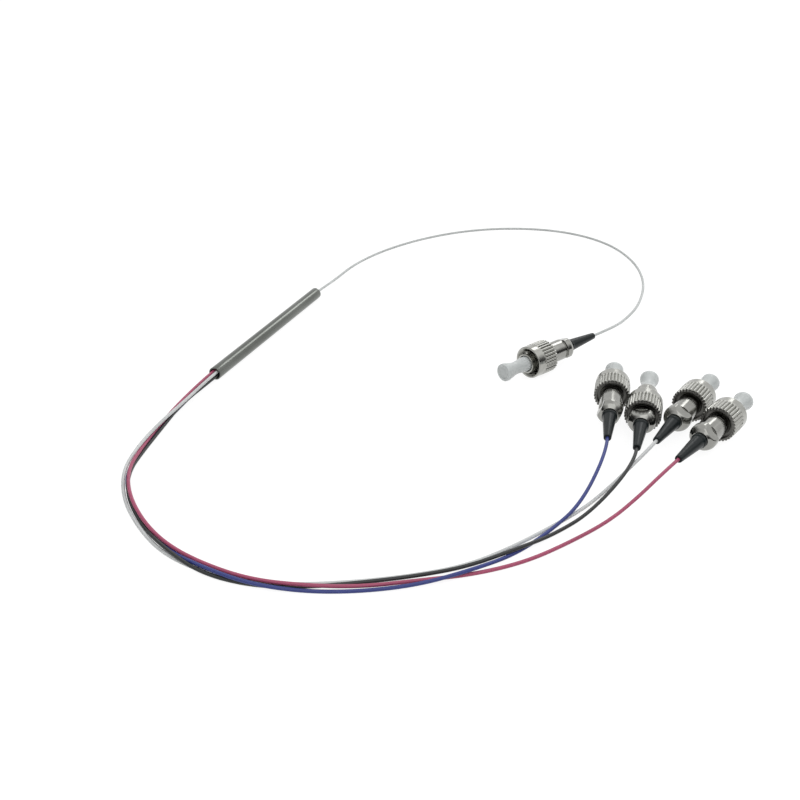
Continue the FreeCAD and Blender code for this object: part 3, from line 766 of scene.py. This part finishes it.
def make_floor(scene):
    """A wide pale floor just under the object. It shows white, and takes a soft shadow."""
    studio = scene.coupler_studio
    half = studio.floor_span / 2
    low = -studio.floor_gap
    corners = np.array([[-half, -half, low], [half, -half, low], [half, half, low], [-half, half, low]])
    floor, tree = stage_piece(scene, "floor", corners, np.arange(4)[None], "Pale Floor")
    path = add(tree, "ShaderNodeLightPath")
    seen = add(tree, "ShaderNodeMath", operation="ADD")
    seen_or_through = add(tree, "ShaderNodeMath", operation="ADD", use_clamp=True)
    plain = add(tree, "ShaderNodeBsdfDiffuse", {"Color": (*scene.coupler_finish.floor, 1)})
    white = add(tree, "ShaderNodeEmission", {"Color": (1, 1, 1, 1), "Strength": 1 - studio.shadow / 2})
    dim = add(tree, "ShaderNodeBsdfDiffuse", {"Color": (*[studio.shadow] * 3, 1)})
    lit = add(tree, "ShaderNodeAddShader")
    either = add(tree, "ShaderNodeMixShader")
    out = add(tree, "ShaderNodeOutputMaterial")
    connect(
        tree,
        (path, "Is Camera Ray", seen, 0),
        (path, "Is Glossy Ray", seen, 1),
        (seen, 0, seen_or_through, 0),
        (path, "Is Transmission Ray", seen_or_through, 1),
        (dim, 0, lit, 0),
        (white, 0, lit, 1),
        (seen_or_through, 0, either, "Fac"),
        (plain, 0, either, 1),
        (lit, 0, either, 2),
        (either, 0, out, "Surface"),
    )


def direction(heading, lift):
    """The unit vector with a heading from X and a lift above the horizon."""
    return Vector((math.cos(lift) * math.cos(heading), math.cos(lift) * math.sin(heading), math.sin(lift)))


def make_world(scene):
    """Even white light from all round."""
    world = bpy.data.worlds.new("White Tent")
    scene.world = world
    world.use_nodes = True
    back = world.node_tree.nodes["Background"]
    back.inputs["Color"].default_value = (1, 1, 1, 1)
    back.inputs["Strength"].default_value = scene.coupler_studio.tent


def make_flag(scene):
    """A dark screen round the camera's side, seen only by light and reflections, which fades out upwards.

    Point (a, h) is (r cos a, r sin a, h), where a runs round the part of the circle that isn't left open.
    """
    studio = scene.coupler_studio
    behind = scene.coupler_shot.heading - studio.open_turn + math.pi
    reach = math.pi - studio.open_span / 2
    columns = 97
    angles = np.linspace(behind - reach, behind + reach, columns)
    low = np.column_stack([np.cos(angles), np.sin(angles), 0 * angles]) * studio.flag_radius
    high = low + np.array([0, 0, studio.flag_height])
    index = np.arange(columns - 1)
    faces = np.column_stack([index, index + 1, index + 1 + columns, index + columns])
    flag, tree = stage_piece(scene, "flag", np.concatenate([low, high]), faces, "Black Screen")
    flag.visible_camera = False
    where = add(tree, "ShaderNodeTexCoord")
    parts = add(tree, "ShaderNodeSeparateXYZ")
    fade = add(tree, "ShaderNodeMapRange", {"From Min": studio.flag_fade, "From Max": studio.flag_height})
    cloth = add(tree, "ShaderNodeBsdfDiffuse", {"Color": (*[studio.flag_tone] * 3, 1)})
    clear = add(tree, "ShaderNodeBsdfTransparent")
    mixed = add(tree, "ShaderNodeMixShader")
    out = add(tree, "ShaderNodeOutputMaterial")
    connect(
        tree,
        (where, "Object", parts, 0),
        (parts, "Z", fade, "Value"),
        (fade, "Result", mixed, "Fac"),
        (cloth, 0, mixed, 1),
        (clear, 0, mixed, 2),
        (mixed, 0, out, "Surface"),
    )


def add_softbox(scene, name, way, span, power):
    """A square area lamp in a direction seen from the middle of the object, turned to it."""
    lamp = bpy.data.lights.new(name, "AREA")
    lamp.shape = "SQUARE"
    lamp.size = span
    lamp.energy = power
    item = bpy.data.objects.new(name, lamp)
    item.location = Vector(LAMP_TARGET) + way * scene.coupler_studio.lamp_reach
    item.rotation_euler = (-way).to_track_quat("-Z", "Y").to_euler()
    scene.collection.objects.link(item)


def make_lights(scene):
    """One softbox above the camera, one at its right and a small one in the open side of the screen."""
    studio = scene.coupler_studio
    heading = scene.coupler_shot.heading
    front = direction(heading + math.pi, studio.lamp_lift)
    right = direction(heading - math.pi / 2, studio.lamp_lift)
    rear = direction(heading - studio.open_turn, studio.rear_lift)
    add_softbox(scene, "front", front, studio.lamp_span, studio.front_power)
    add_softbox(scene, "right", right, studio.lamp_span, studio.right_power)
    add_softbox(scene, "rear", rear, studio.rear_span, studio.rear_power)


def make_camera(scene):
    """The camera of the photograph: its place, its heading from X and its pitch below the horizon."""
    shot = scene.coupler_shot
    lens = bpy.data.cameras.new("camera")
    lens.sensor_width = shot.sensor
    lens.lens = shot.lens
    lens.clip_start = 10 * MM
    item = bpy.data.objects.new("camera", lens)
    item.location = shot.place
    item.rotation_euler = Euler((math.pi / 2 - shot.pitch, 0, shot.heading - math.pi / 2))
    scene.collection.objects.link(item)
    scene.camera = item


class COUPLER_OT_lay_cords(Operator):
    """Lay the pigtails along their routes as smooth curves"""

    bl_idname = "coupler.lay_cords"
    bl_label = "Lay Pigtails"

    def execute(self, context):
        colours = context.scene.coupler_finish
        diameter = context.scene.coupler_cord.diameter
        for port in PORTS:
            curve = bpy.data.curves.new(port + "_pigtail", "CURVE")
            curve.dimensions = "3D"
            curve.bevel_depth = diameter / 2
            curve.bevel_resolution = 6
            curve.resolution_u = 16
            curve.use_fill_caps = True
            spline = curve.splines.new("NURBS")
            route = ROUTES[port]
            spline.points.add(len(route) - 1)
            spline.points.foreach_set("co", np.column_stack([route, np.ones(len(route))]).ravel())
            spline.order_u = 3
            spline.use_endpoint_u = True
            piece = bpy.data.objects.new(port + "_pigtail", curve)
            context.scene.collection.objects.link(piece)
            value = getattr(colours, port + "_cord")
            name = port.capitalize() + " Cord"
            material = moulded(name, value, scale=1500, low=0.38, high=0.48, depth=1e-6)
            slot = "white_cord" if port == "input" else port + "_cord"
            finish(piece, material, "coupler", slot, port + "_cord")
        return {"FINISHED"}


class COUPLER_OT_declare_cords(Operator):
    """Take no step; the pigtails stay as they are"""

    bl_idname = "coupler.declare_cords"
    bl_label = "Declare Pigtails"

    def execute(self, context):
        return {"FINISHED"}


class COUPLER_OT_make_tube(Operator):
    """Make the steel tube with its rounded ends"""

    bl_idname = "coupler.make_tube"
    bl_label = "Make Tube"

    def execute(self, context):
        tube = context.scene.coupler_tube
        half = tube.span / 2
        bore = tube.radius - tube.wall
        profile = rounded(
            [
                (-half, bore, tube.edge / 2),
                (-half, tube.radius, tube.edge),
                (half, tube.radius, tube.edge),
                (half, bore, tube.edge / 2),
            ]
        )
        outline = refined(profile, step=3 * MM, closed=True)
        piece = turned("coupler_tube", outline, columns=96, place=along_tube)
        finish(piece, brushed_steel(context.scene.coupler_finish), "coupler", "steel", "steel_tube")
        return {"FINISHED"}


class COUPLER_OT_pot_ends(Operator):
    """Pot both ends of the tube round the pigtails, and finish the glass between them"""

    bl_idname = "coupler.pot_ends"
    bl_label = "Pot Ends"

    def execute(self, context):
        tube = context.scene.coupler_tube
        colours = context.scene.coupler_finish
        resin = moulded("Potting Resin", colours.potting, scale=700, low=0.25, high=0.45, depth=2e-5)
        play = 0.02 * MM
        radius = tube.radius - tube.wall - play
        pool = 0.7 * radius
        face = tube.span / 2 - tube.recess
        back = face - tube.potting
        sunk = face - tube.meniscus
        profile = rounded(
            [
                (back, 0, 0),
                (back, radius, 0.1 * MM),
                (face, radius, 0),
                (sunk, pool, 0.6 * MM),
                (sunk, 0, 0),
            ]
        )
        outline = refined(profile, step=0.3 * MM, closed=False)
        for port, way in (("input", 1), ("output", -1)):
            place = lambda local, way=way: along_tube(local * np.array([way, way, 1]))
            piece = turned(port + "_potting", outline, COLUMNS, place)
            finish(piece, resin, "coupler", "potting", port + "_seal")
        glass = clear_glass(colours)
        dressed("quartz_substrate", glass)
        dressed("fused_taper", glass)
        return {"FINISHED"}


class COUPLER_OT_mould_boots(Operator):
    """Mould the rubber boots"""

    bl_idname = "coupler.mould_boots"
    bl_label = "Mould Boots"

    def execute(self, context):
        boot = context.scene.coupler_boot
        black = context.scene.coupler_finish.boot
        rubber = moulded("Boot Rubber", black, scale=2500, low=0.26, high=0.38, depth=2e-6)
        rubber.node_tree.nodes["Principled BSDF"].inputs["Specular IOR Level"].default_value = 0.2
        neck = -boot.rim_span - 0.25 * MM
        rim_start = -boot.rim_span + 0.15 * MM
        profile = rounded(
            [
                (-boot.span, boot.bore, 0.05 * MM),
                (-boot.span, boot.tip, 0.22 * MM),
                (neck, boot.radius, 0.6 * MM),
                (rim_start, boot.rim, 0.35 * MM),
                (0, boot.rim, 0.35 * MM),
                (0, boot.bore, 0),
            ]
        )
        outline = refined(profile, step=0.8 * MM, closed=True)
        for port in PORTS:
            piece = turned(port + "_boot_skin", outline, COLUMNS, along_connector(port))
            finish(piece, rubber, "coupler", "boot_rubber", port + "_boot")
        return {"FINISHED"}


class COUPLER_OT_turn_bodies(Operator):
    """Turn the rear bodies and mill their wrench flats"""

    bl_idname = "coupler.turn_bodies"
    bl_label = "Turn Rear Bodies"

    def execute(self, context):
        body = context.scene.coupler_body
        bore = context.scene.coupler_boot.bore
        # The darker body colour is painted shade from the nut in front.
        plate = nickel("Nickel Body With Painted Shade", context.scene.coupler_finish.body, rings=260, low=0.12, high=0.22)
        barrel_start = body.collar_end + 0.1 * MM
        profile = rounded(
            [
                (0, bore, 0),
                (0, body.cone, 0.15 * MM),
                (body.cone_span, body.collar - body.bevel_step, 1.5 * MM),
                (body.cone_span + body.bevel_span, body.collar, 1.5 * MM),
                (body.collar_end, body.collar, 0.12 * MM),
                (barrel_start, body.barrel, 0.08 * MM),
                (body.span, body.barrel, 0.02 * MM),
                (body.span, body.spring_bore, 0),
                (body.spring_seat, body.spring_bore, 0),
                (body.spring_seat, bore, 0),
            ]
        )

        # The least sine of an angle that a flat's line is drawn to, and how sharply flat and round meet.
        least_sine = 0.2
        sharpness = 70.0

        def flats(along, radius, angles):
            """Radius cut back to two opposite flats with softened edges, up to the end of the flats.

            A flat is its distance from the axis over the sine of the angle. Of it and the round radius, the
            lesser is taken, softly: both to a high negative power, added and brought back by the root.
            """
            level = body.flat / np.maximum(np.abs(np.sin(angles)), least_sine)
            run_out = smooth_step(body.flat_end - SOFT_EDGE, body.flat_end + SOFT_EDGE, along)
            limit = level + run_out * body.barrel
            return ((radius / MM) ** -sharpness + (limit / MM) ** -sharpness) ** (-1 / sharpness) * MM

        outline = refined(profile, step=0.18 * MM, closed=True)
        for port in PORTS:
            piece = turned(port + "_body", outline, columns=112, place=along_connector(port), swell=flats)
            finish(piece, plate, "coupler", "nickel", port + "_rear_body")
        return {"FINISHED"}


class COUPLER_OT_turn_frames(Operator):
    """Turn the plug frames with their alignment keys"""

    bl_idname = "coupler.turn_frames"
    bl_label = "Turn Plug Frames"

    def execute(self, context):
        body = context.scene.coupler_body
        plug = context.scene.coupler_frame
        plate = nickel("Nickel Frame", context.scene.coupler_finish.nickel, rings=200, low=0.12, high=0.22)
        shoulder = body.span + plug.shoulder_at
        shoulder_end = shoulder + plug.shoulder_span
        front = plug_front()
        skin = plug.sleeve - 0.05 * MM
        profile = rounded(
            [
                (body.span, plug.guide, 0),
                (body.span, body.barrel, 0.02 * MM),
                (shoulder, body.barrel, 0),
                (shoulder, plug.shoulder, 0.08 * MM),
                (shoulder_end, plug.shoulder, 0.08 * MM),
                (shoulder_end, plug.sleeve, 0),
                (front, plug.sleeve, 0.12 * MM),
                (front, plug.sleeve_bore, 0.12 * MM),
                (shoulder_end, plug.sleeve_bore, 0),
                (shoulder_end, plug.guide, 0),
            ]
        )

        def key(along, radius, angles):
            """Radius raised to the shoulder's over the width and length of the key, on top of the sleeve."""
            across = np.abs(plug.sleeve * np.cos(angles))
            half = plug.key_width / 2
            wide = smooth_step(-half - SOFT_EDGE, -half + SOFT_EDGE, -across) * (np.sin(angles) > 0)
            key_end = shoulder_end + plug.key_span
            long = smooth_step(-key_end - SOFT_EDGE, -key_end + SOFT_EDGE, -along) * (along >= shoulder_end)
            outside = radius > skin
            return radius + wide * long * outside * np.maximum(plug.shoulder - radius, 0)

        outline = refined(profile, step=0.3 * MM, closed=True)
        for port in PORTS:
            piece = turned(port + "_frame", outline, columns=88, place=along_connector(port), swell=key)
            finish(piece, plate, "coupler", "nickel", port + "_plug_frame")
        return {"FINISHED"}


class COUPLER_OT_turn_nuts(Operator):
    """Turn the coupling nuts, with knurl outside and thread inside"""

    bl_idname = "coupler.turn_nuts"
    bl_label = "Turn Coupling Nuts"

    def execute(self, context):
        nut = context.scene.coupler_nut
        colours = context.scene.coupler_finish
        plate = nickel("Nickel Nut", colours.nickel, rings=180, low=0.15, high=0.25)
        # Painted shade: a second, darker and rougher nickel for the back of the nut, standing in for the
        # shade there.
        painted_shade_plate = nickel("Nickel Painted Shade", colours.recess, rings=180, low=0.3, high=0.45)
        web_front = nut.recess_span + nut.web_span
        knurl_end = nut.span - nut.collar_span
        collar = nut.radius - nut.collar_step
        profile = rounded(
            [
                (0, nut.recess, 0.1 * MM),
                (nut.back_slope, nut.radius, 0.04 * MM),
                (knurl_end, nut.radius, 0.1 * MM),
                (knurl_end + nut.step_span, collar, 0.1 * MM),
                (nut.span, collar, nut.rim),
                (nut.span, collar - nut.lip, 0.1 * MM),
                (nut.span - nut.mouth_span, nut.thread, 0.05 * MM),
                (web_front, nut.thread, 0),
                (web_front, nut.web, 0.05 * MM),
                (nut.recess_span, nut.web, 0.05 * MM),
                (nut.recess_span, nut.recess, 0),
            ]
        )

        outline = refined(profile, step=0.16 * MM, closed=True)
        columns_a_tooth = 8
        columns = columns_a_tooth * nut.knurls

        # The share of a tooth that its groove takes, and where knurl, thread and the painted shade at the
        # back begin and end.
        groove_share = 0.65
        groove_run_out = 0.5 * MM
        knurl_floor = nut.radius - 0.7 * MM
        knurl_foot = nut.radius - 0.35 * MM
        thread_run_in = 0.8 * MM
        thread_play = 0.02 * MM
        recess_floor = nut.recess_span + 0.01 * MM
        back_edge = nut.radius - 0.1 * MM
        # Rows that take the painted shade: the rear face, the recess wall and the web's rear face.
        behind = (outline[:, 0] < recess_floor) & (outline[:, 1] < back_edge)
        painted_shade_slots = np.repeat(behind, columns).astype(np.int32)

        def knurl_and_thread(along, radius, angles):
            """Outside, V grooves with rounded crests that run out at the collar; inside, a helical groove.

            The knurl takes its depth times how far a point is from the flat of its tooth. The thread
            adds a triangle wave of the place along the axis less its share of the turn.
            """
            tooth = np.abs((angles * nut.knurls / (2 * np.pi)) % 1 - 0.5) * 2
            groove = np.clip((groove_share - tooth) / groove_share, 0, 1)
            ends = 1 - smooth_step(knurl_end - groove_run_out, knurl_end, along)
            outside = smooth_step(knurl_floor, knurl_foot, radius)
            wave = np.abs(((along / nut.thread_pitch - angles / (2 * np.pi)) % 1) - 0.5) * 2
            inside = np.abs(radius - nut.thread) < thread_play
            start = smooth_step(web_front, web_front + thread_run_in, along)
            knurl = nut.knurl_depth * groove * ends * outside
            return radius - knurl + nut.thread_depth * inside * start * wave

        for port in PORTS:
            foot, axes = connector_axes(port)
            rear = ((node_points(port + "_coupling_nut") - foot) @ axes[0]).min()
            place = lambda local, port=port, rear=rear: along_connector(port)(local + np.array([rear, 0, 0]))
            piece = turned(port + "_nut", outline, columns, place, swell=knurl_and_thread)
            finish(piece, plate, port + "_nut", "nickel", port + "_coupling_nut")
            # The painted shade goes on the rows at the back of the nut.
            piece.data.materials.append(painted_shade_plate)
            piece.data.polygons.foreach_set("material_index", painted_shade_slots)
        return {"FINISHED"}


class COUPLER_OT_grind_ferrules(Operator):
    """Grind the ferrules, and turn the flange behind each"""

    bl_idname = "coupler.grind_ferrules"
    bl_label = "Grind Ferrules"

    def execute(self, context):
        ferrule = context.scene.coupler_ferrule
        colours = context.scene.coupler_finish
        ceramic = moulded("Ferrule Ceramic", colours.ceramic, scale=3000, low=0.12, high=0.2, depth=1e-6)
        plate = nickel("Nickel Flange", colours.nickel, rings=80, low=0.12, high=0.22)
        tip = plug_front() + ferrule.reach
        flange_front = context.scene.coupler_body.span - ferrule.stop_gap
        rear = flange_front - ferrule.flange_span
        rod = rounded(
            [
                (rear, 0, 0),
                (rear, ferrule.radius, 0),
                (tip - ferrule.bevel, ferrule.radius, 0.1 * MM),
                (tip, ferrule.radius - ferrule.bevel, 0.08 * MM),
                (tip, ferrule.fibre, 0),
                (tip, 0, 0),
            ]
        )
        ring = rounded(
            [
                (rear, ferrule.radius, 0),
                (rear, ferrule.flange, 0.15 * MM),
                (flange_front, ferrule.flange, 0.15 * MM),
                (flange_front, ferrule.radius, 0),
            ]
        )
        rod_outline = refined(rod, step=0.8 * MM, closed=False)
        ring_outline = refined(ring, step=0.5 * MM, closed=True)
        for port in PORTS:
            place = along_connector(port)
            body = port + "_ferrule_set"
            piece = turned(port + "_ferrule_rod", rod_outline, COLUMNS, place)
            finish(piece, ceramic, body, "zirconia", port + "_ferrule")
            piece = turned(port + "_flange", ring_outline, COLUMNS, place)
            finish(piece, plate, body, "nickel", port + "_ferrule_flange")
        return {"FINISHED"}


class COUPLER_OT_wind_springs(Operator):
    """Wind the coil spring behind each ferrule"""

    bl_idname = "coupler.wind_springs"
    bl_label = "Wind Springs"

    def execute(self, context):
        body = context.scene.coupler_body
        ferrule = context.scene.coupler_ferrule
        wire = ferrule.wire / 2
        start = body.spring_seat + wire
        seat = body.span - ferrule.stop_gap - ferrule.flange_span
        end = seat - wire
        material = spring_wire(context.scene.coupler_finish)

        # Point (t, b) of the coil is, along the axis, at t's share of the way plus wire times sin b, and, at
        # the angle t, out by the coil's radius plus wire times cos b. Each end closes in one point.
        steps_a_turn = 48
        wire_columns = 12
        turn = np.linspace(0, 2 * np.pi * ferrule.turns, steps_a_turn * ferrule.turns + 1)[:, None]
        round_wire = np.linspace(0, 2 * np.pi, wire_columns, endpoint=False)[None]
        share = turn / turn[-1]
        out = ferrule.coil + wire * np.cos(round_wire)
        along = start + (end - start) * share + wire * np.sin(round_wire)
        local = np.stack([along, out * np.cos(turn), out * np.sin(turn)], axis=-1)
        first = np.broadcast_to(local[:1].mean(axis=1, keepdims=True), local[:1].shape)
        last = np.broadcast_to(local[-1:].mean(axis=1, keepdims=True), local[-1:].shape)
        coil = np.concatenate([first, local, last])
        for port in PORTS:
            points = along_connector(port)(coil)
            piece = grid_mesh(port + "_coil", points, closed_rows=False, start_pole=True, end_pole=True)
            finish(piece, material, "coupler", "spring_steel", port + "_spring")
            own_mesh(piece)
        return {"FINISHED"}


class COUPLER_OT_mould_caps(Operator):
    """Mould the clear dust caps"""

    bl_idname = "coupler.mould_caps"
    bl_label = "Mould Dust Caps"

    def execute(self, context):
        cap = context.scene.coupler_cap
        plug = context.scene.coupler_frame
        plastic = clear_cap(context.scene.coupler_finish)
        rear = plug_front() - plug.sleeve_span + cap.seat_gap
        floor = rear + cap.bore_span
        end = rear + cap.span
        rim_inside = 0.75 * cap.flare
        dish_floor = 0.55 * cap.flare
        profile = rounded(
            [
                (floor, 0, 0),
                (floor, cap.bore, 0.3 * MM),
                (rear, cap.bore, 0.15 * MM),
                (rear, cap.barrel, 0.2 * MM),
                (rear + cap.barrel_span, cap.barrel, 6 * MM),
                (rear + cap.waist_at, cap.waist, 8 * MM),
                (rear + cap.flare_at, cap.flare, 2.5 * MM),
                (end, cap.flare, 0.3 * MM),
                (end, rim_inside, 0.5 * MM),
                (end - cap.dish, dish_floor, 0.6 * MM),
                (end - cap.dish, 0, 0),
            ],
            steps=12,
        )
        outline = refined(profile, step=0.5 * MM, closed=False)
        for port in PORTS:
            piece = turned(port + "_cap_skin", outline, COLUMNS, along_connector(port))
            finish(piece, plastic, port + "_cap", "clear_plastic", port + "_dust_cap")
        return {"FINISHED"}


class COUPLER_OT_set_stage(Operator):
    """Set the pale floor, the lights and the camera"""

    bl_idname = "coupler.set_stage"
    bl_label = "Set Stage"

    def execute(self, context):
        scene = context.scene
        scene.view_settings.view_transform = "Standard"
        make_floor(scene)
        make_world(scene)
        make_flag(scene)
        make_lights(scene)
        make_camera(scene)
        return {"FINISHED"}


class COUPLER_PT_panel(Panel):
    """Sizes, colours and steps of the coupler"""

    bl_label = "Fibre Optic Coupler"
    bl_idname = "COUPLER_PT_panel"
    bl_space_type = "VIEW_3D"
    bl_region_type = "UI"
    bl_category = "Coupler"

    def draw(self, context):
        for step in STEPS:
            self.layout.operator(step.bl_idname)
        for pointer, group in GROUPS.items():
            box = self.layout.box()
            box.label(text=group.__doc__)
            for name in group.__annotations__:
                box.prop(getattr(context.scene, pointer), name)


GROUPS = {
    "coupler_tube": TubeSizes,
    "coupler_cord": CordSizes,
    "coupler_boot": BootSizes,
    "coupler_body": BodySizes,
    "coupler_frame": FrameSizes,
    "coupler_ferrule": FerruleSizes,
    "coupler_nut": NutSizes,
    "coupler_cap": CapSizes,
    "coupler_finish": FinishColours,
    "coupler_studio": StudioSettings,
    "coupler_shot": ShotSettings,
}
STEPS = (
    COUPLER_OT_set_stage,
    COUPLER_OT_lay_cords,
    COUPLER_OT_make_tube,
    COUPLER_OT_pot_ends,
    COUPLER_OT_mould_boots,
    COUPLER_OT_turn_bodies,
    COUPLER_OT_turn_frames,
    COUPLER_OT_turn_nuts,
    COUPLER_OT_grind_ferrules,
    COUPLER_OT_wind_springs,
    COUPLER_OT_mould_caps,
    COUPLER_OT_declare_cords,
)


def register():
    """Registers the settings, the steps and the panel."""
    for group in (*GROUPS.values(), *STEPS, COUPLER_PT_panel):
        bpy.utils.register_class(group)
    for pointer, group in GROUPS.items():
        setattr(bpy.types.Scene, pointer, PointerProperty(type=group))


def unregister():
    """Takes back what register did."""
    for pointer in GROUPS:
        delattr(bpy.types.Scene, pointer)
    for group in (COUPLER_PT_panel, *reversed(STEPS), *reversed(GROUPS.values())):
        bpy.utils.unregister_class(group)


def main():
    """Makes the stage and every piece in order."""
    register()
    bpy.ops.coupler.set_stage()
    bpy.ops.coupler.lay_cords()
    bpy.ops.coupler.make_tube()
    bpy.ops.coupler.pot_ends()
    bpy.ops.coupler.mould_boots()
    bpy.ops.coupler.turn_bodies()
    bpy.ops.coupler.turn_frames()
    bpy.ops.coupler.turn_nuts()
    bpy.ops.coupler.grind_ferrules()
    bpy.ops.coupler.wind_springs()
    bpy.ops.coupler.mould_caps()
    bpy.ops.coupler.declare_cords()


if __name__ == "__main__":
    main()
